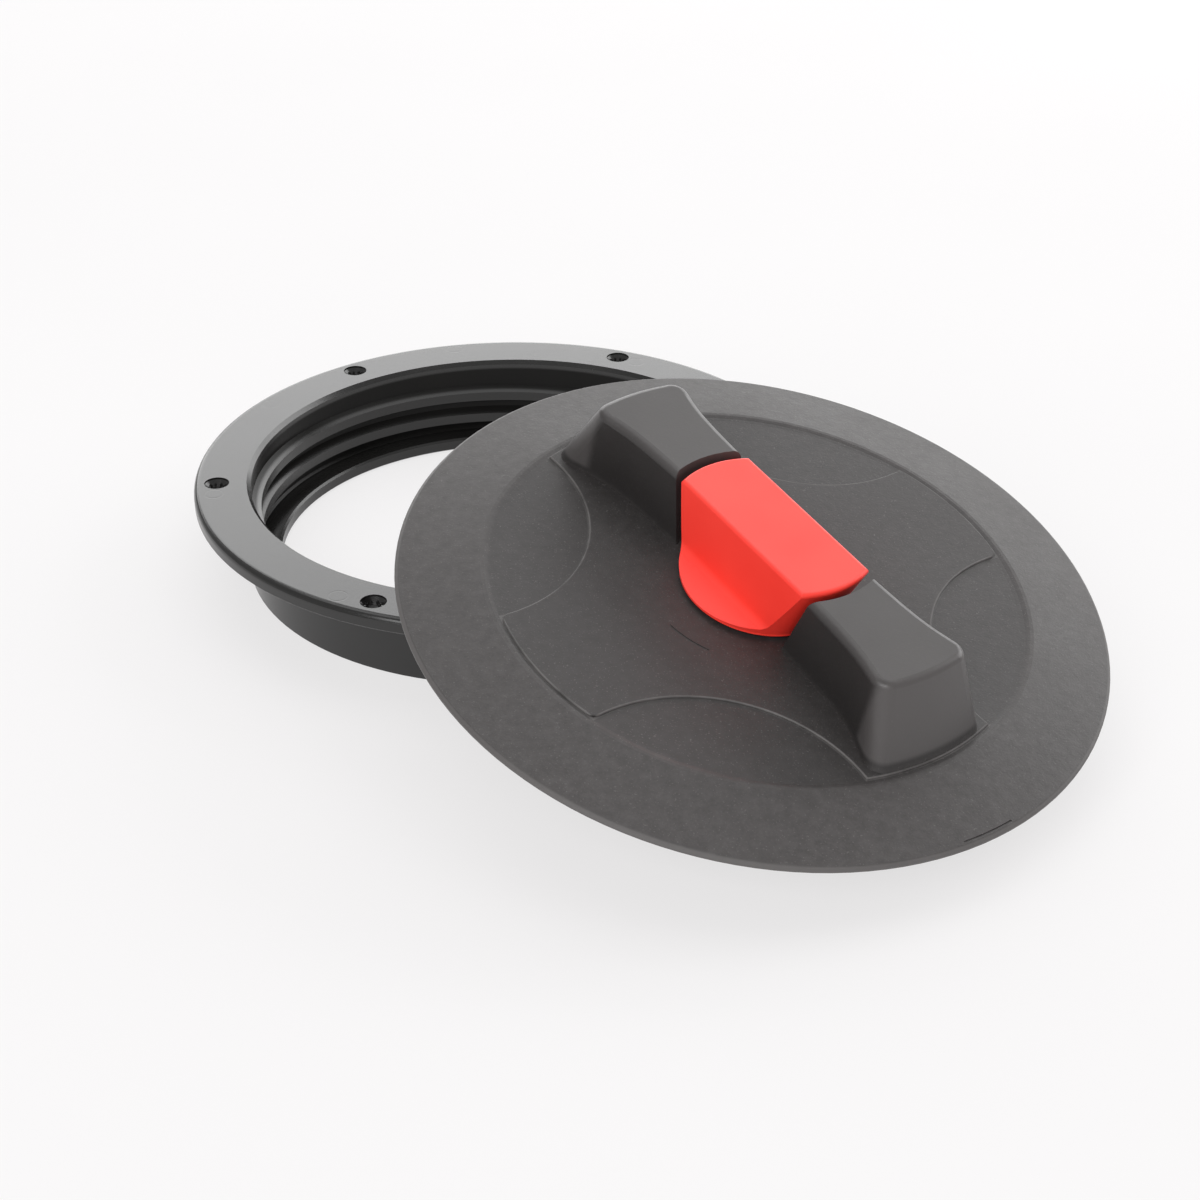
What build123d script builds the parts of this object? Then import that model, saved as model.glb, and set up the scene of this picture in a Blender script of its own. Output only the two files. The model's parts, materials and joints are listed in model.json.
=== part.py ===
from build123d import *
import math
import os

# Threaded round tank hatch: a flanged ring that is screwed to the tank wall,
# and a screw-in cover with a moulded handle and a quarter-turn locking knob.
# Units are millimetres.  The ring stands on the lower end of its collar at
# z = 0 with its axis on Z; the cover is off the thread and leans on the ring.

# ---------------------------------------------------------------- dimensions
# ring
RING_OD_R = 140.0          # flange outer radius
RING_H = 41.0              # collar foot to flange top
FLANGE_T = 6.6             # flange thickness
FLANGE_EDGE_R = 2.8        # rounding of the flange outer top edge
MOUTH_R = 116.7            # flange inner edge
WALL_R = 115.0             # thread root (collar bore)
CREST_R = 111.0            # thread crest
COLLAR_R = 118.0           # collar outer radius
LIP_R = 103.6              # inward lip at the collar foot
LIP_T = 5.6                # lip thickness
PITCH = 11.5               # thread pitch
RIDGE_CREST = 4.4          # width of the female ridge at its crest
FLANK = math.tan(math.radians(30))
RIDGE_Z90 = 26.0           # height of the ridge's upper crest corner at azimuth 90
RIDGE_START = 300.0        # azimuth of the upper end of the female thread
HOLE_PCR = 129.8           # screw circle radius
HOLE_N = 6
HOLE_A0 = 7.3              # azimuth of the first screw hole
HOLE_R = 2.9               # through hole radius
CSK_R = 5.5                # countersink radius
POCKET_AZ = (30.0, 210.0)  # lock pockets in the ring

# cover, in its own frame: axis +Z, handle along X, rim underside at z = 0
COVER_R = 142.1
RIM_T = 2.7                # height of the rim at the outer edge
ANN_R = 109.0              # inner limit of the outer band
ANN_H = 7.95               # height of the outer band at its inner limit
POCKET_R = 106.6           # foot of the slope into the finger pockets
POCKET_H = 7.4             # floor of the finger pockets
PLATEAU_H = 8.25
PLATE_BOTTOM = 3.6         # underside of the plate inside the skirt
LOBE_R = 106.2             # radius of the lobe ends
SCOOP_C = (94.0, 94.0)     # centre of the concave side arcs
SCOOP_R = 64.0
HANDLE_H = 39.2            # top of handle and knob
SKIRT_R = 110.2            # male thread root
SKIRT_T = 3.8
SKIRT_D = 28.4             # skirt depth below the rim
MALE_CREST_R = 114.2
MALE_BASE = 5.9            # width of the male ridge at its root
MALE_START = -38.0         # azimuth of the lower end of the male thread

# knob
KNOB_BASE_R = 32.0
KNOB_FOOT_Z = 9.6          # underside of the knob's foot
KNOB_TOP_R = 41.4
KNOB_HALF_W = 16.6
KNOB_WING_H = 10.9         # top of the foot at its rim
BOSS_R = 12.0
BORE_R = 7.05
SPINDLE_R = 7.0
SQ = 9.8                   # drive square

# lock
BOLT_W = 16.0
BOLT_Z0, BOLT_Z1 = -6.6, -3.3
BOLT_IN, BOLT_OUT = 8.8, 109.4
BOLT_TRAVEL = 7.0
PIN_V0 = 12.0
CAM_R = 25.5
CAM_Z0, CAM_Z1 = -3.0, -0.5

# rest placement of the cover
TILT = 13.92                # lean of the cover
LEAN_AZ = -53.65            # downhill direction
SPIN = 0.0                 # handle direction, measured from downhill
COVER_D = 173.2            # ring axis to the centre of the rim plane
COVER_AZ = -53.65           # direction from the ring axis to that centre
COVER_Z = SKIRT_R * math.sin(math.radians(TILT)) + SKIRT_D * math.cos(math.radians(TILT)) - 0.19

os.makedirs("parts", exist_ok=True)


# -------------------------------------------------------------------- helpers
def rev(points):
    """Solid of revolution about Z from an (r, z) outline."""
    with BuildPart() as p:
        with BuildSketch(Plane.XZ):
            with BuildLine():
                Polyline(*points, close=True)
            make_face()
        revolve(axis=Axis.Z)
    return p.part


def tube(ro, ri, z0, z1):
    s = Pos(0, 0, (z0 + z1) / 2) * Cylinder(ro, z1 - z0)
    if ri > 0:
        s = s - Pos(0, 0, (z0 + z1) / 2) * Cylinder(ri, z1 - z0 + 2)
    return s


def block(x0, x1, y0, y1, z0, z1):
    return Pos((x0 + x1) / 2, (y0 + y1) / 2, (z0 + z1) / 2) * Box(x1 - x0, y1 - y0, z1 - z0)


def helix_ridge(r_in, r_out, w_in, w_out, pitch, z_start, turns, az_start):
    """Right-hand helical ridge, trapezoid section between two radii."""
    rm = (r_in + r_out) / 2
    path = Helix(pitch=pitch, height=pitch * turns, radius=rm)
    prof = Polyline((r_in, 0, -w_in / 2), (r_in, 0, w_in / 2), (r_out, 0, w_out / 2),
                    (r_out, 0, -w_out / 2), (r_in, 0, -w_in / 2))
    ridge = sweep(make_face(prof), path=path, is_frenet=True)
    return Pos(0, 0, z_start) * Rot(0, 0, az_start) * ridge


def solid_of(shape):
    """The largest solid of a shape, as a plain solid."""
    s = sorted(shape.solids(), key=lambda q: q.volume)
    return s[-1]


# ----------------------------------------------------------------------- ring
def make_ring():
    fz = RING_H - FLANGE_T
    c = FLANGE_EDGE_R
    outer_arc = [(RING_OD_R - c + c * math.sin(math.radians(a)), RING_H - c + c * math.cos(math.radians(a)))
                 for a in range(0, 91, 15)]
    body = rev([(MOUTH_R, RING_H)] + outer_arc +
               [(RING_OD_R, fz + 0.5), (RING_OD_R - 0.5, fz), (COLLAR_R + 1.6, fz), (COLLAR_R, fz - 1.6),
                (COLLAR_R, 0), (LIP_R + 0.5, 0), (LIP_R, 0.5), (LIP_R, LIP_T - 0.9), (LIP_R + 0.9, LIP_T), (WALL_R - 1.0, LIP_T),
                (WALL_R, LIP_T + 1.0), (WALL_R, RING_H - 1.8)])
    # female thread: crest corner at RIDGE_Z90 when the azimuth is 90 degrees
    dr = WALL_R - CREST_R
    emb = 0.9
    w_root = RIDGE_CREST + 2 * (dr + emb) * FLANK
    z_top = RIDGE_Z90 + (RIDGE_START - 90.0) / 360.0 * PITCH - RIDGE_CREST / 2
    turns = (z_top - (LIP_T + 0.5)) / PITCH
    az0 = RIDGE_START - 360.0 * turns
    ridge = helix_ridge(CREST_R, WALL_R + emb, RIDGE_CREST, w_root, PITCH, z_top - turns * PITCH, turns, az0)
    body = body + ridge
    # countersunk screw holes with small ribs left in the cone
    cut = None
    for i in range(HOLE_N):
        a = math.radians(HOLE_A0 + 60 * i)
        loc = Pos(HOLE_PCR * math.cos(a), HOLE_PCR * math.sin(a), 0)
        h = loc * Pos(0, 0, RING_H - FLANGE_T / 2) * Cylinder(HOLE_R, FLANGE_T + 4)
        csk = rev([(0, RING_H + 0.2), (CSK_R, RING_H + 0.2), (CSK_R, RING_H - 0.9), (HOLE_R + 0.35, RING_H - 3.3), (0, RING_H - 3.3)])
        ribs = None
        for k in range(10):
            rb = Rot(0, 0, 36 * k) * block(HOLE_R + 0.2, CSK_R - 0.35, -0.28, 0.28, RING_H - 4.6, RING_H - 2.0)
            ribs = rb if ribs is None else ribs + rb
        tool = (csk - ribs)
        tool = loc * tool
        cut = (h + tool) if cut is None else cut + h + tool
    body = body - cut
    # lock pockets in the wall behind the flange
    for az in POCKET_AZ:
        pk = Rot(0, 0, az) * block(WALL_R - 3, 119.6, -BOLT_W / 2 - 0.8, BOLT_W / 2 + 0.8, RING_H - 5.9, RING_H - 1.9)
        body = body - pk
    return solid_of(body)


# ---------------------------------------------------------------------- cover
def side_wire(pts_half, r_in, r_out, z, sign=1):
    """Closed outline of one handle hump: concave inner arc, splined sides, outer arc."""
    (xi, yi), (xo, yo) = pts_half[0], pts_half[-1]
    with BuildLine(Plane.XY.offset(z)) as l:
        ThreePointArc((xi, yi), (r_in, 0), (xi, -yi))
        Spline(*[(x, -y) for x, y in pts_half])
        ThreePointArc((xo, -yo), (r_out, 0), (xo, yo))
        Spline(*[(x, y) for x, y in reversed(pts_half)])
    return l.wires()[0]


def hump_solid(off=0.0, z0=7.2, z1=HANDLE_H):
    """Handle hump on the +X side; off shrinks it for the hollow underneath."""
    def xi(r, y):
        return math.sqrt(r * r - y * y)
    rb, rt = 36.9 + off, 44.8 + off
    yb, yt = 15.8 - off, 16.4 - off
    base = [(xi(rb, yb), yb), (48.0, 16.6 - off), (60.0, 17.3 - off), (73.5, 19.0 - off), (87.0 - off * 0.4, 23.3 - off), (96.0 - off * 0.7, 27.2 - off)]
    top = [(xi(rt, yt), yt), (53.0, 16.9 - off), (63.0, 17.6 - off), (73.0, 18.9 - off), (82.0 - off * 0.4, 20.8 - off)]
    ro, so = 106.0 - off, 91.5 - off
    base.append((math.sqrt(ro * ro - (29.2 - off) ** 2), 29.2 - off))
    top.append((math.sqrt(so * so - (21.6 - off) ** 2), 21.6 - off))
    wb = side_wire(base, rb, ro, z0)
    wt = side_wire(top, rt, so, z1)
    return Solid.make_loft([wb, wt], ruled=True)


def plateau_sketch():
    with BuildSketch() as s:
        Circle(LOBE_R)
        for sx in (-1, 1):
            for sy in (-1, 1):
                with Locations((sx * SCOOP_C[0], sy * SCOOP_C[1])):
                    Circle(SCOOP_R, mode=Mode.SUBTRACT)
        # keep only the cross
    return s.sketch


def make_cover():
    # disc with outer band, slope, pocket floor; skirt below
    body = rev([(0, PLATE_BOTTOM), (103.0, PLATE_BOTTOM), (104.6, 0), (COVER_R - 0.6, 0), (COVER_R, 0.6), (COVER_R, RIM_T - 1.4), (COVER_R - 0.5, RIM_T - 0.6), (COVER_R - 1.4, RIM_T),
                (ANN_R + 2.5, ANN_H - 0.4), (ANN_R + 0.8, ANN_H - 0.12), (ANN_R - 0.6, ANN_H - 0.12), (POCKET_R, POCKET_H + 0.08), (POCKET_R - 1.8, POCKET_H), (0, POCKET_H)])
    plate = Pos(0, 0, PLATE_BOTTOM + 0.5) * extrude(plateau_sketch(), amount=PLATEAU_H - PLATE_BOTTOM - 0.5)
    plate = solid_of(plate)
    corners = [e for e in plate.edges().filter_by(Axis.Z) if abs(math.hypot(e.center().X, e.center().Y) - LOBE_R) < 0.5 and abs(e.center().Y) > 60]
    plate = solid_of(plate.fillet(4.2, corners))
    try:
        top_edges = [e for e in plate.edges() if abs(e.center().Z - PLATEAU_H) < 1e-3]
        plate = solid_of(plate.chamfer(0.3, None, top_edges))
    except Exception:
        pass
    body = body + plate
    # handle humps
    for k in (0, 180):
        h = hump_solid()
        h = round_hump(h)
        body = body + Rot(0, 0, k) * h
    for k in (0, 180):
        inner = hump_solid(off=3.4, z0=-1.0, z1=HANDLE_H - 3.6)
        body = body - Rot(0, 0, k) * inner
    # bearing boss of the knob
    body = body + tube(BOSS_R, 0, PLATE_BOTTOM + 0.5, 18.0)
    body = body + tube(29.5, 0, 0, PLATE_BOTTOM + 0.5)
    body = body - Pos(0, 0, 10) * Cylinder(BORE_R, 60)
    # fine arc mark outside the knob
    mark = tube(46.6, 46.0, PLATEAU_H - 0.5, PLATEAU_H + 0.3)
    wedge = Rot(0, 0, -86) * extrude(Polygon((0, 0), (80, 0), (80 * math.cos(math.radians(23)), 80 * math.sin(math.radians(23))), align=None), amount=20)
    body = body + (mark & wedge)
    # trimmed moulding gate on the rim
    gate = tube(140.2, 139.5, 2.5, 4.0)
    wedge = Rot(0, 0, -6) * extrude(Polygon((0, 0), (160, 0), (160 * math.cos(math.radians(9.5)), 160 * math.sin(math.radians(9.5))), align=None), amount=20)
    body = body - (gate & wedge)
    # skirt with male thread
    skirt = rev([(SKIRT_R - SKIRT_T, 0.8), (SKIRT_R, 0.8), (SKIRT_R, -SKIRT_D + 0.8), (SKIRT_R - 0.8, -SKIRT_D), (SKIRT_R - SKIRT_T + 0.6, -SKIRT_D), (SKIRT_R - SKIRT_T, -SKIRT_D + 0.6)])
    body = body + skirt
    emb = 0.9
    dr = MALE_CREST_R - SKIRT_R
    zc_top = -4.6
    turns = (SKIRT_D - 4.6 - 4.2) / PITCH
    w_crest = MALE_BASE - 2 * dr * FLANK
    w_root = MALE_BASE + 2 * emb * FLANK
    ridge = helix_ridge(SKIRT_R - emb, MALE_CREST_R, w_root, w_crest, PITCH, zc_top - turns * PITCH, turns, MALE_START)
    body = body + ridge
    # seal groove under the outer band
    body = body - tube(124.2, 119.0, -1.0, 1.3)
    # bolt guides and radial stiffening ribs under the plate
    for s in (-1, 1):
        for t in (-1, 1):
            x0, x1 = sorted((t * (BOLT_W / 2 + 0.25), t * (BOLT_W / 2 + 2.45)))
            y0, y1 = sorted((s * 29.0, s * 107.5))
            body = body + block(x0, x1, y0, y1, -6.8, PLATE_BOTTOM + 0.5)
            for yy in (40.0, 92.0):
                body = body + Pos(t * 14.2, s * yy, -1.3) * Cylinder(3.9, 11.0)
                body = body - Pos(t * 14.2, s * yy, -4.0) * Cylinder(1.6, 6.6)
    for a in (38, 142, 218, 322):
        rib = Rot(0, 0, a) * block(28.0, 107.5, -1.2, 1.2, -5.0, PLATE_BOTTOM + 0.5)
        body = body + rib
    # windows for the lock bolts
    for s in (-1, 1):
        y0, y1 = sorted((s * 104.0, s * 118.0))
        body = body - block(-BOLT_W / 2 - 0.25, BOLT_W / 2 + 0.25, y0, y1, BOLT_Z0 - 0.2, BOLT_Z1 + 0.2)
    return solid_of(body)


def round_hump(h):
    """Round the upper edges of a hump: wide at the outer end, narrow elsewhere."""
    top = [e for e in h.edges() if abs(e.center().Z - HANDLE_H) < 1e-3]
    outer = max(top, key=lambda e: abs(e.center().X))
    inner = min(top, key=lambda e: abs(e.center().X))
    sides = [e for e in top if e not in (outer, inner)]
    upr = [e for e in h.edges() if abs(e.center().Z - HANDLE_H) > 2 and e.center().Z > 8 and abs(e.center().X) > 80]
    steps = [(upr, 7.0), (None, 3.0)]
    try:
        h2 = h.fillet(7.0, upr)
    except Exception:
        h2 = h
    h = solid_of(h2)
    top = [e for e in h.edges() if abs(e.center().Z - HANDLE_H) < 1e-3]
    inner = min(top, key=lambda e: abs(e.center().X))
    rest = [e for e in top if e is not inner]
    for r in (3.2, 2.6, 2.0, 1.4):
        try:
            h = solid_of(h.fillet(r, rest))
            break
        except Exception:
            continue
    return h


# ----------------------------------------------------------------------- knob
def make_knob():
    cone = rev([(0, KNOB_FOOT_Z), (KNOB_BASE_R - 0.5, KNOB_FOOT_Z), (KNOB_BASE_R, KNOB_FOOT_Z + 0.5), (KNOB_BASE_R, KNOB_WING_H), (KNOB_TOP_R, HANDLE_H), (0, HANDLE_H)])
    w, t = KNOB_HALF_W, HANDLE_H
    with BuildPart() as b:
        with BuildSketch(Plane.YZ):
            with BuildLine():
                p0 = (w, t)
                p1 = (w + 2.6, 17.0)
                p2 = (w + 4.6, 13.6)
                p3 = (36.0, 10.1)
                Line((-w, t), p0)
                Line(p0, p1)
                TangentArc(p1, p2, tangent=(p1[0] - p0[0], p1[1] - p0[1]))
                Line(p2, p3)
                Line(p3, (36.0, 0))
                Line((36.0, 0), (-36.0, 0))
                Line((-36.0, 0), (-36.0, p3[1]))
                Line((-36.0, p3[1]), (-p2[0], p2[1]))
                TangentArc((-p1[0], p1[1]), (-p2[0], p2[1]), tangent=(-(p1[0] - p0[0]), p1[1] - p0[1]))
                Line((-p1[0], p1[1]), (-w, t))
            make_face()
        extrude(amount=60, both=True)
    bar = b.part
    k = solid_of(cone & bar)
    top = [e for e in k.edges() if abs(e.center().Z - HANDLE_H) < 1e-3]
    for r in (1.5, 1.0):
        try:
            k = solid_of(k.fillet(r, top))
            break
        except Exception:
            continue
    # hollow over the bearing boss, drive socket, screw hole
    k = k - tube(13.0, 0, 4.0, 19.6)
    for s in (-1, 1):
        x0, x1 = sorted((s * 15.5, s * 26.0))
        k = k - block(x0, x1, -13.2, 13.2, 4.0, 35.6)
    k = k - block(-SQ / 2 - 0.05, SQ / 2 + 0.05, -SQ / 2 - 0.05, SQ / 2 + 0.05, 19.0, 30.3)
    k = k - Pos(0, 0, 32) * Cylinder(2.55, 6.2)
    return solid_of(k)


def make_spindle():
    s = tube(SPINDLE_R, 0, -0.45, 19.2)
    s = s + block(-SQ / 2, SQ / 2, -SQ / 2, SQ / 2, 19.0, 30.0)
    s = s + block(-SQ / 2, SQ / 2, -SQ / 2, SQ / 2, -3.05, -0.4)
    s = s - tube(9, 5.6, 9.6, 12.4)
    s = s - Pos(0, 0, 13) * Cylinder(2.6, 60)
    return solid_of(s)


def make_oring():
    return Pos(0, 0, 11.0) * Torus(6.36, 0.66)


def cam_slot():
    hw = 2.2
    n = 18
    pts, left, right = [], [], []
    for i in range(n + 1):
        f = i / n
        r = PIN_V0 + BOLT_TRAVEL * f
        a = math.radians(90.0 - 90.0 * f)
        pts.append((r * math.cos(a), r * math.sin(a)))
    for i, (x, y) in enumerate(pts):
        xa, ya = pts[max(i - 1, 0)]
        xb, yb = pts[min(i + 1, n)]
        d = math.hypot(xb - xa, yb - ya)
        nx, ny = -(yb - ya) / d, (xb - xa) / d
        left.append((x + hw * nx, y + hw * ny))
        right.append((x - hw * nx, y - hw * ny))
    f = make_face(Polyline(*(left + right[::-1]), close=True))
    s = Pos(0, 0, -5) * extrude(f, amount=8, dir=(0, 0, 1))
    for x, y in (pts[0], pts[-1]):
        s = s + Pos(x, y, -1) * Cylinder(hw, 8)
    return s


def make_cam():
    c = tube(CAM_R, 0, CAM_Z0, CAM_Z1)
    c = c - block(-SQ / 2 - 0.05, SQ / 2 + 0.05, -SQ / 2 - 0.05, SQ / 2 + 0.05, -6, 3)
    sl = cam_slot()
    c = c - sl - Rot(0, 0, 180) * sl
    return solid_of(c)


def make_cam_washer():
    return solid_of(tube(7.8, 2.7, -4.3, -3.1))


def make_knob_screw():
    s = tube(4.6, 0, -7.2, -4.35) + tube(2.5, 0, -4.4, 34.6)
    s = s - extrude(Pos(0, 0, -7.4) * RegularPolygon(2.3, 6), amount=2.0)
    return solid_of(s)


def make_bolt(s):
    b = block(-BOLT_W / 2, BOLT_W / 2, BOLT_IN, BOLT_OUT, BOLT_Z0, BOLT_Z1)
    b = b - block(-BOLT_W, -2.9, 0, 27.0, -8, 0) - block(2.9, BOLT_W, 0, 27.0, -8, 0)
    b = solid_of(b)
    tips = [e for e in b.edges().filter_by(Axis.Z) if e.center().Y > BOLT_OUT - 1]
    b = solid_of(b.fillet(2.5, tips))
    b = b - Pos(0, PIN_V0, -5) * Cylinder(1.96, 8)
    # stiffening pocket milled from below
    b = b - block(-4.5, 4.5, 36.0, 88.0, -8, -5.2)
    b = solid_of(b)
    return b if s > 0 else Rot(0, 0, 180) * b


def make_pin(s):
    p = tube(1.96, 0, -6.5, -0.9)
    return Pos(0, s * PIN_V0, 0) * solid_of(p)


def make_retainer(s):
    r = block(-18.4, 18.4, 30.0, 101.5, -8.9, -7.0)
    r = solid_of(r)
    r = solid_of(r.fillet(4.0, r.edges().filter_by(Axis.Z)))
    for t in (-1, 1):
        for yy in (40.0, 92.0):
            r = r - Pos(t * 14.2, yy, -8) * Cylinder(2.1, 6)
    r = r - extrude(Pos(0, 66, -10) * SlotOverall(34, 9, rotation=90), amount=6)
    r = solid_of(r)
    return r if s > 0 else Rot(0, 0, 180) * r


def make_retainer_screws():
    out = []
    for s in (-1, 1):
        for t in (-1, 1):
            for yy in (40.0, 92.0):
                q = tube(3.4, 0, -10.9, -8.95) + tube(1.55, 0, -9.0, -1.2)
                q = q - block(-0.4, 0.4, -3.6, 3.6, -11.2, -10.2)
                out.append(Pos(t * 14.2, s * yy, 0) * solid_of(q))
    return Compound(children=out)


def make_seal():
    return solid_of(rev([(119.15, 1.2), (124.05, 1.2), (124.05, -0.4), (123.4, -1.0), (119.8, -1.0), (119.15, -0.4)]))


# ------------------------------------------------------------------ placement
def cover_location():
    az = math.radians(COVER_AZ)
    px, py = COVER_D * math.cos(az), COVER_D * math.sin(az)
    return Pos(px, py, COVER_Z) * Rot(0, 0, LEAN_AZ) * Rot(0, TILT, 0) * Rot(0, 0, SPIN)


def save(name, shape):
    shape.label = name
    export_step(shape, os.path.join("parts", name + ".step"))


if __name__ == "__main__":
    loc = cover_location()
    save("frame_ring", make_ring())
    save("cover", loc * make_cover())
    save("cover_seal", loc * make_seal())
    save("lock_knob", loc * make_knob())
    save("knob_spindle", loc * make_spindle())
    save("spindle_oring", loc * solid_of(make_oring()))
    save("lock_cam", loc * make_cam())
    save("cam_washer", loc * make_cam_washer())
    save("knob_screw", loc * make_knob_screw())
    save("lock_bolt_a", loc * make_bolt(1))
    save("lock_bolt_b", loc * make_bolt(-1))
    save("bolt_pin_a", loc * make_pin(1))
    save("bolt_pin_b", loc * make_pin(-1))
    save("bolt_guide_a", loc * make_retainer(1))
    save("bolt_guide_b", loc * make_retainer(-1))
    save("guide_screws", loc * make_retainer_screws())
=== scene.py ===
import json
import math

import bpy
from mathutils import Matrix, Vector


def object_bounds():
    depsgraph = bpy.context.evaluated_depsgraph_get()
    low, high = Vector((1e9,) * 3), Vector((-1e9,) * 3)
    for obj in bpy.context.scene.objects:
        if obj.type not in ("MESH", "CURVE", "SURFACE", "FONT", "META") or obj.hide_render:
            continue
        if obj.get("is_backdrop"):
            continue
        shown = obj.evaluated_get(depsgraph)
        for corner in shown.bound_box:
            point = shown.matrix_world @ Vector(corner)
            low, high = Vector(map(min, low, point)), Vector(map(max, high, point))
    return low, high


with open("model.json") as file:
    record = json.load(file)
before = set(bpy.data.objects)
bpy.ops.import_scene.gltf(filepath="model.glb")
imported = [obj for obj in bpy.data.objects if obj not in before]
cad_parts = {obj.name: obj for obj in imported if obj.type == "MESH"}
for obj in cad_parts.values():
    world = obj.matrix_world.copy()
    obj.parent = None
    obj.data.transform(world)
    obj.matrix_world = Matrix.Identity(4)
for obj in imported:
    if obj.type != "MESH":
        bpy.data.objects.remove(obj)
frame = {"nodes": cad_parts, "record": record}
cad_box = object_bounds()


def plain(b):
    """A box as plain lists of numbers."""
    if isinstance(b, dict):
        return {k: plain(v) for k, v in b.items()}
    if isinstance(b, (list, tuple, Vector)):
        return [plain(v) for v in b]
    return float(b) if isinstance(b, (int, float)) else b


nodes = frame["nodes"]
record = frame["record"]
joints = {j["name"]: j for j in record["behaviour"]["joints"]}
P0 = Vector(joints["cover_turn"]["pos_m"])
N0 = Vector(joints["cover_turn"]["axis"]).normalized()
V0 = Vector(joints["bolt_a_slide"]["axis"]).normalized()
U0 = V0.cross(N0).normalized()


# ------------------------------------------------------------ node helpers
class Mat:
    def __init__(self, name):
        self.m = bpy.data.materials.new(name)
        self.m.use_nodes = True
        self.t = self.m.node_tree
        self.t.nodes.clear()
        self.out = self.t.nodes.new("ShaderNodeOutputMaterial")
        self.b = self.t.nodes.new("ShaderNodeBsdfPrincipled")
        self.t.links.new(self.b.outputs[0], self.out.inputs[0])
        tc = self.t.nodes.new("ShaderNodeTexCoord")
        self.obj = tc.outputs["Object"]

    def link(self, a, b):
        self.t.links.new(a, b)

    def node(self, kind, **props):
        n = self.t.nodes.new(kind)
        for k, v in props.items():
            setattr(n, k, v)
        return n

    def put(self, sock, v):
        if hasattr(v, "is_output") or hasattr(v, "links"):
            self.link(v, sock)
        else:
            sock.default_value = v

    def math(self, op, a, b=None, c=None, clamp=False):
        n = self.node("ShaderNodeMath", operation=op)
        n.use_clamp = clamp
        self.put(n.inputs[0], a)
        if b is not None:
            self.put(n.inputs[1], b)
        if c is not None:
            self.put(n.inputs[2], c)
        return n.outputs[0]

    def noise(self, scale, detail=2.0, rough=0.5, vec=None, dist=0.0):
        n = self.node("ShaderNodeTexNoise")
        self.link(vec if vec is not None else self.obj, n.inputs["Vector"])
        n.inputs["Scale"].default_value = scale
        n.inputs["Detail"].default_value = detail
        n.inputs["Roughness"].default_value = rough
        n.inputs["Distortion"].default_value = dist
        return n.outputs["Fac"]

    def ramp(self, fac, stops):
        n = self.node("ShaderNodeValToRGB")
        r = n.color_ramp
        while len(r.elements) < len(stops):
            r.elements.new(0.5)
        for e, (p, c) in zip(r.elements, stops):
            e.position = p
            e.color = (c[0], c[1], c[2], 1) if hasattr(c, "__len__") else (c, c, c, 1)
        self.link(fac, n.inputs[0])
        return n.outputs[0]

    def mix(self, fac, a, b):
        n = self.node("ShaderNodeMix", data_type="RGBA")
        self.put(n.inputs[0], fac)
        for s, v in ((n.inputs[6], a), (n.inputs[7], b)):
            if isinstance(v, tuple):
                s.default_value = (v[0], v[1], v[2], 1)
            else:
                self.link(v, s)
        return n.outputs[2]

    def maprange(self, v, a, b, c, d, smooth=False):
        n = self.node("ShaderNodeMapRange")
        n.interpolation_type = "SMOOTHSTEP" if smooth else "LINEAR"
        self.put(n.inputs[0], v)
        for i, q in enumerate((a, b, c, d)):
            n.inputs[i + 1].default_value = q
        return n.outputs[0]

    def bump(self, h, strength, dist, normal=None):
        n = self.node("ShaderNodeBump")
        n.inputs["Strength"].default_value = strength
        n.inputs["Distance"].default_value = dist
        self.link(h, n.inputs["Height"])
        if normal is not None:
            self.link(normal, n.inputs["Normal"])
        return n.outputs[0]

    def dot(self, axis, origin=(0, 0, 0)):
        """Coordinate along an axis, in metres from a point."""
        s = self.node("ShaderNodeVectorMath", operation="SUBTRACT")
        self.link(self.obj, s.inputs[0])
        s.inputs[1].default_value = tuple(origin)
        d = self.node("ShaderNodeVectorMath", operation="DOT_PRODUCT")
        self.link(s.outputs[0], d.inputs[0])
        d.inputs[1].default_value = tuple(axis)
        return d.outputs["Value"]

    def finish(self, color, rough, spec=0.5, normal=None, coat=0.0, coat_rough=0.1, metallic=0.0, ior=1.5, sss=None):
        b = self.b
        if isinstance(color, tuple):
            b.inputs["Base Color"].default_value = (color[0], color[1], color[2], 1)
        else:
            self.link(color, b.inputs["Base Color"])
        self.put(b.inputs["Roughness"], rough)
        b.inputs["Specular IOR Level"].default_value = spec
        b.inputs["Metallic"].default_value = metallic
        b.inputs["IOR"].default_value = ior
        b.inputs["Coat Weight"].default_value = coat
        b.inputs["Coat Roughness"].default_value = coat_rough
        if normal is not None:
            self.link(normal, b.inputs["Normal"])
        return self.m


def assign(name, mat):
    o = nodes[name]
    if not o.material_slots:
        o.data.materials.append(mat)
    for s in o.material_slots:
        s.material = mat


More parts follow.
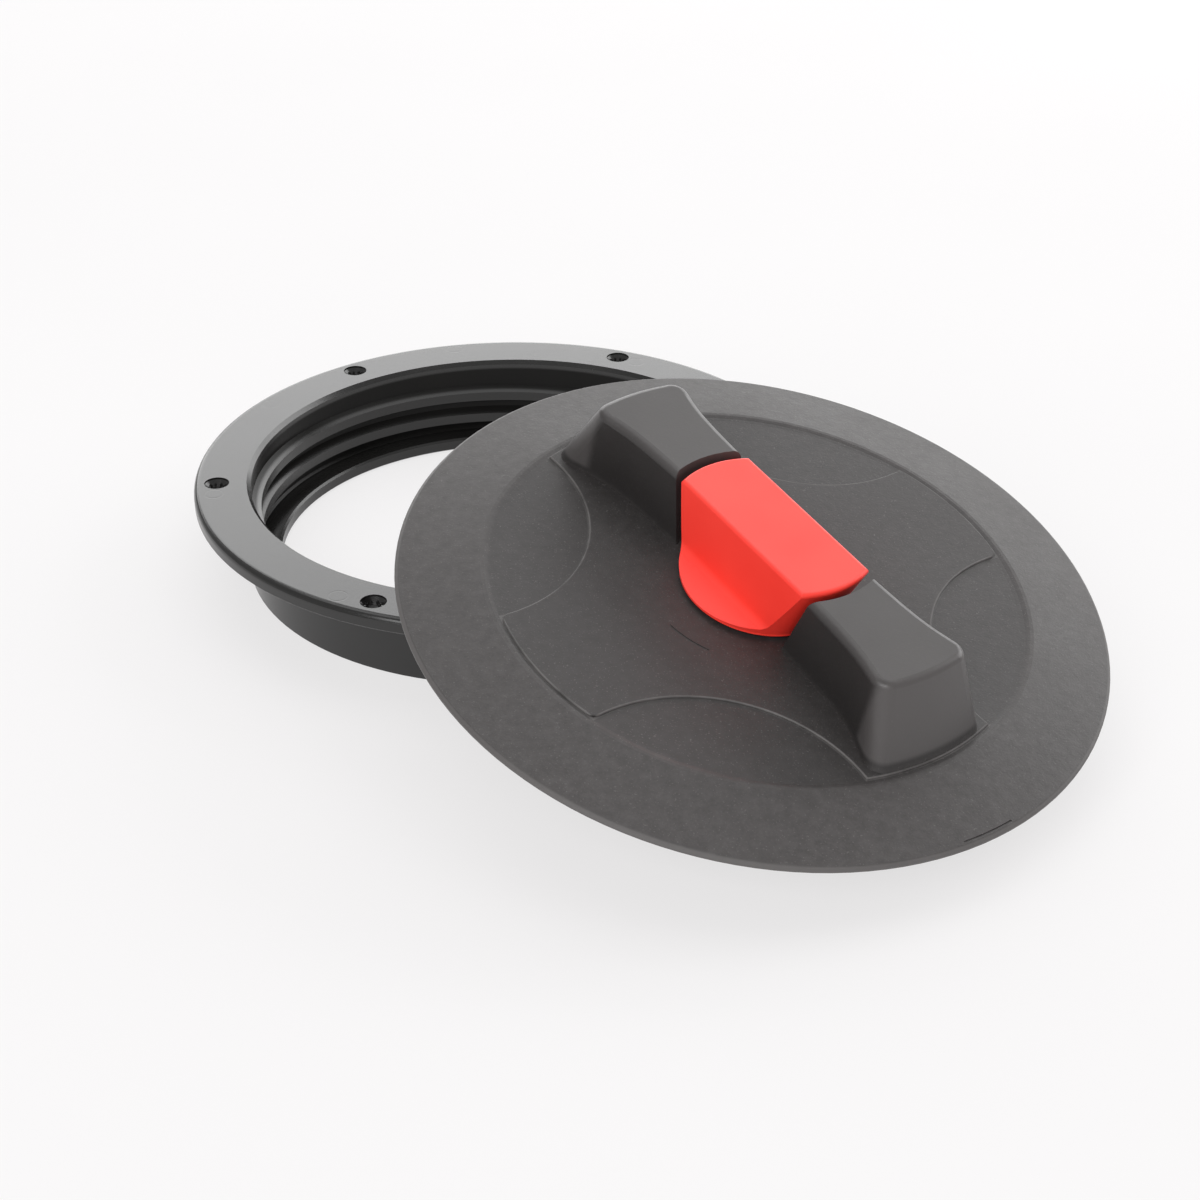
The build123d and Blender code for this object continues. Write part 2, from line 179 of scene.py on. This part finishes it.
# ---------------------------------------------------------------- cover black
def cover_material():
    k = Mat("cover_plastic_look")
    u, v, w = k.dot(U0, P0), k.dot(V0, P0), k.dot(N0, P0)
    rad = k.math("SQRT", k.math("ADD", k.math("MULTIPLY", u, u), k.math("MULTIPLY", v, v)))
    big = k.noise(9.0, 3.0, 0.6)
    mott = k.noise(220.0, 3.0, 0.55)
    speck = k.noise(900.0, 2.0, 0.6)
    # smoother humps: above the plate the grain fades
    grain = k.maprange(w, 0.0075, 0.011, 1.0, 0.25, True)
    fac = k.math("ADD", k.math("MULTIPLY", mott, 0.55), k.math("MULTIPLY", speck, 0.45))
    fac = k.math("ADD", k.math("MULTIPLY", k.math("SUBTRACT", fac, 0.5), grain), 0.5)
    base = k.ramp(fac, [(0.25, (0.030, 0.0265, 0.0258)), (0.5, (0.046, 0.0415, 0.0408)), (0.75, (0.066, 0.061, 0.060))])
    inner = k.ramp(fac, [(0.25, (0.022, 0.0195, 0.019)), (0.5, (0.031, 0.0278, 0.0272)), (0.75, (0.041, 0.0375, 0.037))])
    wob = k.math("MULTIPLY", k.math("SUBTRACT", k.noise(38.0, 4.0, 0.65), 0.5), 0.006)
    edge = k.maprange(k.math("ADD", rad, wob), 0.1055, 0.1095, 0.0, 1.0, True)
    base = k.mix(edge, inner, base)
    # painted shade: the handle's sides are painted darker towards the plate, standing in for the shade low on them
    painted_shade_level = k.maprange(w, 0.010, 0.037, 0.72, 1.0, True)
    shade = k.node("ShaderNodeCombineColor")
    for i in range(3):
        k.link(painted_shade_level, shade.inputs[i])
    low = k.node("ShaderNodeMix", data_type="RGBA", blend_type="MULTIPLY")
    k.link(k.maprange(w, 0.009, 0.0105, 0.0, 1.0), low.inputs[0])
    k.link(base, low.inputs[6])
    k.link(shade.outputs[0], low.inputs[7])
    base = low.outputs[2]
    # painted highlight: the handle's tops and outer ends are painted lighter, standing in for the light they catch
    painted_top_light = k.math("MAXIMUM", k.maprange(w, 0.0355, 0.0385, 0.0, 0.42, True), k.math("MULTIPLY", k.maprange(rad, 0.0865, 0.0915, 0.0, 0.75, True), k.maprange(w, 0.0100, 0.0125, 0.0, 1.0, True)))
    base = k.mix(painted_top_light, base, (0.088, 0.081, 0.080))
    # painted highlight: thin light lines along the plateau's outline, the outer arc and the four scooped arcs, drawn
    # from the distance to it
    au, av = k.math("ABSOLUTE", u), k.math("ABSOLUTE", v)
    du, dv = k.math("SUBTRACT", au, 0.094), k.math("SUBTRACT", av, 0.094)
    sc = k.math("SUBTRACT", 0.064, k.math("SQRT", k.math("ADD", k.math("MULTIPLY", du, du), k.math("MULTIPLY", dv, dv))))
    out = k.math("SUBTRACT", rad, 0.1062)
    outline_highlight = k.math("ABSOLUTE", k.math("MAXIMUM", sc, out))
    outline_highlight = k.maprange(outline_highlight, 0.0002, 0.00085, 1.0, 0.0, True)
    outline_highlight = k.math("MULTIPLY", outline_highlight, k.maprange(w, 0.0072, 0.0076, 0.0, 1.0))
    outline_highlight = k.math("MULTIPLY", outline_highlight, k.maprange(w, 0.0088, 0.0095, 1.0, 0.0))
    outline_highlight = k.math("MULTIPLY", outline_highlight, k.maprange(k.noise(55.0, 3.0, 0.6), 0.3, 0.6, 0.25, 1.0))
    # painted highlight along the rim's rounded top edge, and pale specks caught in the grain
    rim_highlight = k.maprange(rad, 0.1404, 0.1414, 0.0, 0.7, True)
    dots = k.math("MULTIPLY", k.maprange(k.noise(1500.0, 1.0, 0.4), 0.66, 0.74, 0.0, 0.55, True), grain)
    highlight_and_specks = k.math("MAXIMUM", k.math("MAXIMUM", outline_highlight, rim_highlight), dots)
    # painted highlights on the outline and rim, together with the real pale specks, mixed into the colour
    base = k.mix(highlight_and_specks, base, (0.115, 0.108, 0.106))
    broad = k.ramp(big, [(0.3, (0.90, 0.90, 0.90)), (0.7, (1.08, 1.08, 1.08))])
    m = k.node("ShaderNodeMix", data_type="RGBA", blend_type="MULTIPLY")
    m.inputs[0].default_value = 1.0
    k.link(base, m.inputs[6])
    k.link(broad, m.inputs[7])
    col = m.outputs[2]
    rough = k.math("ADD", k.math("SUBTRACT", k.maprange(big, 0.3, 0.7, 0.46, 0.56), k.maprange(w, 0.009, 0.014, 0.0, 0.15)), k.math("MULTIPLY", k.math("SUBTRACT", speck, 0.5), 0.25))
    peel = k.math("ADD", k.math("MULTIPLY", k.noise(480.0, 2.0, 0.5), 0.6), k.math("MULTIPLY", k.noise(1100.0, 2.0, 0.5), 0.4))
    n = k.bump(k.math("MULTIPLY", peel, grain), 0.55, 0.00022)
    return k.finish(col, rough, 0.5, n)


# ---------------------------------------------------------------- ring black
def ring_material():
    k = Mat("ring_plastic_look")
    sep = k.node("ShaderNodeSeparateXYZ")
    k.link(k.obj, sep.inputs[0])
    x, y, z = sep.outputs
    big = k.noise(12.0, 3.0, 0.6)
    fine = k.noise(700.0, 2.0, 0.5)
    base = k.ramp(big, [(0.3, (0.0095, 0.0092, 0.0088)), (0.7, (0.0135, 0.0130, 0.0124))])
    rough = k.math("ADD", k.maprange(big, 0.3, 0.7, 0.19, 0.26), k.math("MULTIPLY", k.math("SUBTRACT", fine, 0.5), 0.10))
    # witness circles of the ejector pins on the flange
    mark = None
    for wr, wa in ((0.1325, 240.7), (0.1321, 150.5), (0.1330, 103.6), (0.1285, 62.6), (0.1312, 191.8)):
        wx, wy = wr * math.cos(math.radians(wa)), wr * math.sin(math.radians(wa))
        dx, dy = k.math("SUBTRACT", x, wx), k.math("SUBTRACT", y, wy)
        dist = k.math("SQRT", k.math("ADD", k.math("MULTIPLY", dx, dx), k.math("MULTIPLY", dy, dy)))
        one = k.maprange(k.math("ABSOLUTE", k.math("SUBTRACT", dist, 0.0040)), 0.0, 0.00035, 1.0, 0.0, True)
        mark = one if mark is None else k.math("MAXIMUM", mark, one)
    top = k.maprange(z, 0.0400, 0.0407, 0.0, 1.0)
    mark = k.math("MULTIPLY", mark, top)
    h = k.math("SUBTRACT", k.math("MULTIPLY", fine, 0.25), mark)
    n = k.bump(h, 0.35, 0.00012)
    # painted shade: the thread roots and the bore inside the collar get less specular, so they read darker than the
    # crests
    rr = k.math("SQRT", k.math("ADD", k.math("MULTIPLY", x, x), k.math("MULTIPLY", y, y)))
    painted_root_shade = k.math("MULTIPLY", k.maprange(rr, 0.1118, 0.1135, 0.0, 1.0, True), k.maprange(rr, 0.1168, 0.1174, 1.0, 0.0, True))
    painted_root_shade = k.math("MULTIPLY", painted_root_shade, k.maprange(z, 0.0365, 0.0380, 1.0, 0.0, True))
    mat = k.finish(base, rough, 0.5, n)
    painted_bore_shade = k.math("MULTIPLY", k.maprange(rr, 0.1172, 0.1176, 1.0, 0.0, True), k.maprange(z, 0.0365, 0.0380, 1.0, 0.0, True))
    # painted shade: specular level lowered in the bore and most in the thread roots
    level = k.math("SUBTRACT", 0.60, k.math("ADD", k.math("MULTIPLY", painted_bore_shade, 0.12), k.math("MULTIPLY", painted_root_shade, 0.40)))
    k.link(level, k.b.inputs["Specular IOR Level"])
    return mat


# ---------------------------------------------------------------- red knob
def knob_material():
    k = Mat("knob_plastic_look")
    big = k.noise(30.0, 2.0, 0.5)
    fine = k.noise(1500.0, 2.0, 0.5)
    base = k.ramp(big, [(0.3, (0.97, 0.040, 0.026)), (0.7, (1.0, 0.052, 0.034))])
    rough = k.math("ADD", k.maprange(big, 0.3, 0.7, 0.38, 0.44), k.math("MULTIPLY", k.math("SUBTRACT", fine, 0.5), 0.1))
    n = k.bump(fine, 0.25, 0.00008)
    return k.finish(base, rough, 0.5, n)


def plastic(name, dark, light, r0, r1, scale=60.0):
    k = Mat(name)
    big = k.noise(scale, 3.0, 0.55)
    fine = k.noise(1200.0, 2.0, 0.5)
    base = k.ramp(big, [(0.3, dark), (0.7, light)])
    rough = k.maprange(big, 0.3, 0.7, r0, r1)
    n = k.bump(fine, 0.3, 0.00008)
    return k.finish(base, rough, 0.5, n)


def steel(name):
    k = Mat(name)
    big = k.noise(90.0, 2.0, 0.5)
    sc = k.node("ShaderNodeMapping")
    k.link(k.obj, sc.inputs[0])
    sc.inputs["Scale"].default_value = (300.0, 3000.0, 300.0)
    streak = k.noise(1.0, 2.0, 0.5, vec=sc.outputs[0])
    base = k.ramp(big, [(0.3, (0.52, 0.51, 0.50)), (0.7, (0.62, 0.61, 0.60))])
    rough = k.maprange(streak, 0.2, 0.8, 0.24, 0.38)
    n = k.bump(streak, 0.2, 0.00004)
    return k.finish(base, rough, 0.5, n, metallic=1.0)


M_COVER = cover_material()
M_RING = ring_material()
M_KNOB = knob_material()
M_INNER = plastic("inner_plastic_look", (0.070, 0.070, 0.072), (0.095, 0.095, 0.097), 0.36, 0.48)
M_SPINDLE = plastic("spindle_plastic_look", (0.10, 0.10, 0.10), (0.14, 0.14, 0.14), 0.30, 0.40)
M_SEAL = plastic("seal_rubber_look", (0.012, 0.012, 0.012), (0.022, 0.022, 0.021), 0.62, 0.78, 40.0)
M_ORING = plastic("oring_rubber_look", (0.010, 0.010, 0.011), (0.018, 0.018, 0.018), 0.45, 0.60, 80.0)
M_STEEL = steel("steel_look")

for name, mat in (("cover", M_COVER), ("frame_ring", M_RING), ("lock_knob", M_KNOB), ("cover_seal", M_SEAL),
                  ("spindle_oring", M_ORING), ("knob_spindle", M_SPINDLE), ("lock_cam", M_INNER),
                  ("lock_bolt_a", M_INNER), ("lock_bolt_b", M_INNER), ("bolt_guide_a", M_SPINDLE),
                  ("bolt_guide_b", M_SPINDLE), ("cam_washer", M_STEEL), ("knob_screw", M_STEEL),
                  ("bolt_pin_a", M_STEEL), ("bolt_pin_b", M_STEEL), ("guide_screws", M_STEEL)):
    assign(name, mat)


# ---------------------------------------------------------------- the stage
def floor_material():
    k = Mat("floor_look")
    col = k.ramp(k.noise(3.0, 2.0, 0.5), [(0.3, (0.215, 0.213, 0.214)), (0.7, (0.222, 0.220, 0.221))])
    k.b.inputs["Emission Color"].default_value = (1.0, 0.988, 0.99, 1)
    k.b.inputs["Emission Strength"].default_value = 0.68
    return k.finish(col, 0.9, 0.0)


bpy.ops.mesh.primitive_plane_add(size=30.0, location=(0, 0, -0.0004))
floor = bpy.context.object
floor.name = "floor"
floor.data.materials.append(floor_material())
floor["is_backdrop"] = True

scene = bpy.context.scene
world = bpy.data.worlds.new("studio")
scene.world = world
world.use_nodes = True
bg = world.node_tree.nodes.get("Background")
bg.inputs[0].default_value = (1.0, 1.0, 1.0, 1)
bg.inputs[1].default_value = 0.40


def area(name, loc, target, size, size_y, power, color=(1, 1, 1)):
    l = bpy.data.lights.new(name, "AREA")
    l.shape = "RECTANGLE"
    l.size, l.size_y = size, size_y
    l.energy = power
    l.color = color
    o = bpy.data.objects.new(name, l)
    scene.collection.objects.link(o)
    o.location = loc
    d = Vector(target) - Vector(loc)
    o.rotation_euler = d.to_track_quat("-Z", "Y").to_euler()
    return o


def soft(name, centre, target, w, h, radiance, color=(1, 1, 1)):
    """A soft box of a given radiance."""
    return area(name, centre, target, w, h, radiance * math.pi * w * h, color)


soft("overhead", (0.0, 0.5, 2.3), (0.0, 0.0, 0.0), 2.6, 2.0, 1.2)
soft("back", (0.2, 2.6, 1.15), (0.05, -0.1, 0.0), 4.2, 1.9, 2.6)
soft("right", (2.3, 1.2, 1.2), (0.05, -0.1, 0.0), 1.8, 1.6, 3.7)
soft("front", (-0.7, -2.4, 1.5), (0.05, -0.1, 0.0), 2.6, 1.6, 3.9)

# camera at the measured viewing angle
pitch, roll = math.radians(30.415), math.radians(0.129)
f = Vector((0, math.cos(pitch), -math.sin(pitch)))
r0 = Vector((1, 0, 0))
u0 = Vector((0, math.sin(pitch), math.cos(pitch)))
r = math.cos(roll) * r0 + math.sin(roll) * u0
u = -math.sin(roll) * r0 + math.cos(roll) * u0
cam_data = bpy.data.cameras.new("camera")
cam_data.sensor_width = 36.0
cam_data.lens = 2248.62 / 1200.0 * 36.0
cam_data.clip_start = 0.02
cam_data.clip_end = 60.0
cam = bpy.data.objects.new("camera", cam_data)
scene.collection.objects.link(cam)
cam.matrix_world = Matrix(((r.x, u.x, -f.x, 0.04157), (r.y, u.y, -f.y, -0.90371), (r.z, u.z, -f.z, 0.50208), (0, 0, 0, 1)))
scene.camera = cam

scene.view_settings.view_transform = "Standard"
scene.view_settings.look = "None"
scene.view_settings.exposure = 0.0
scene.view_settings.gamma = 1.0

{"cad": plain(cad_box), "visual": plain(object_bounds())}
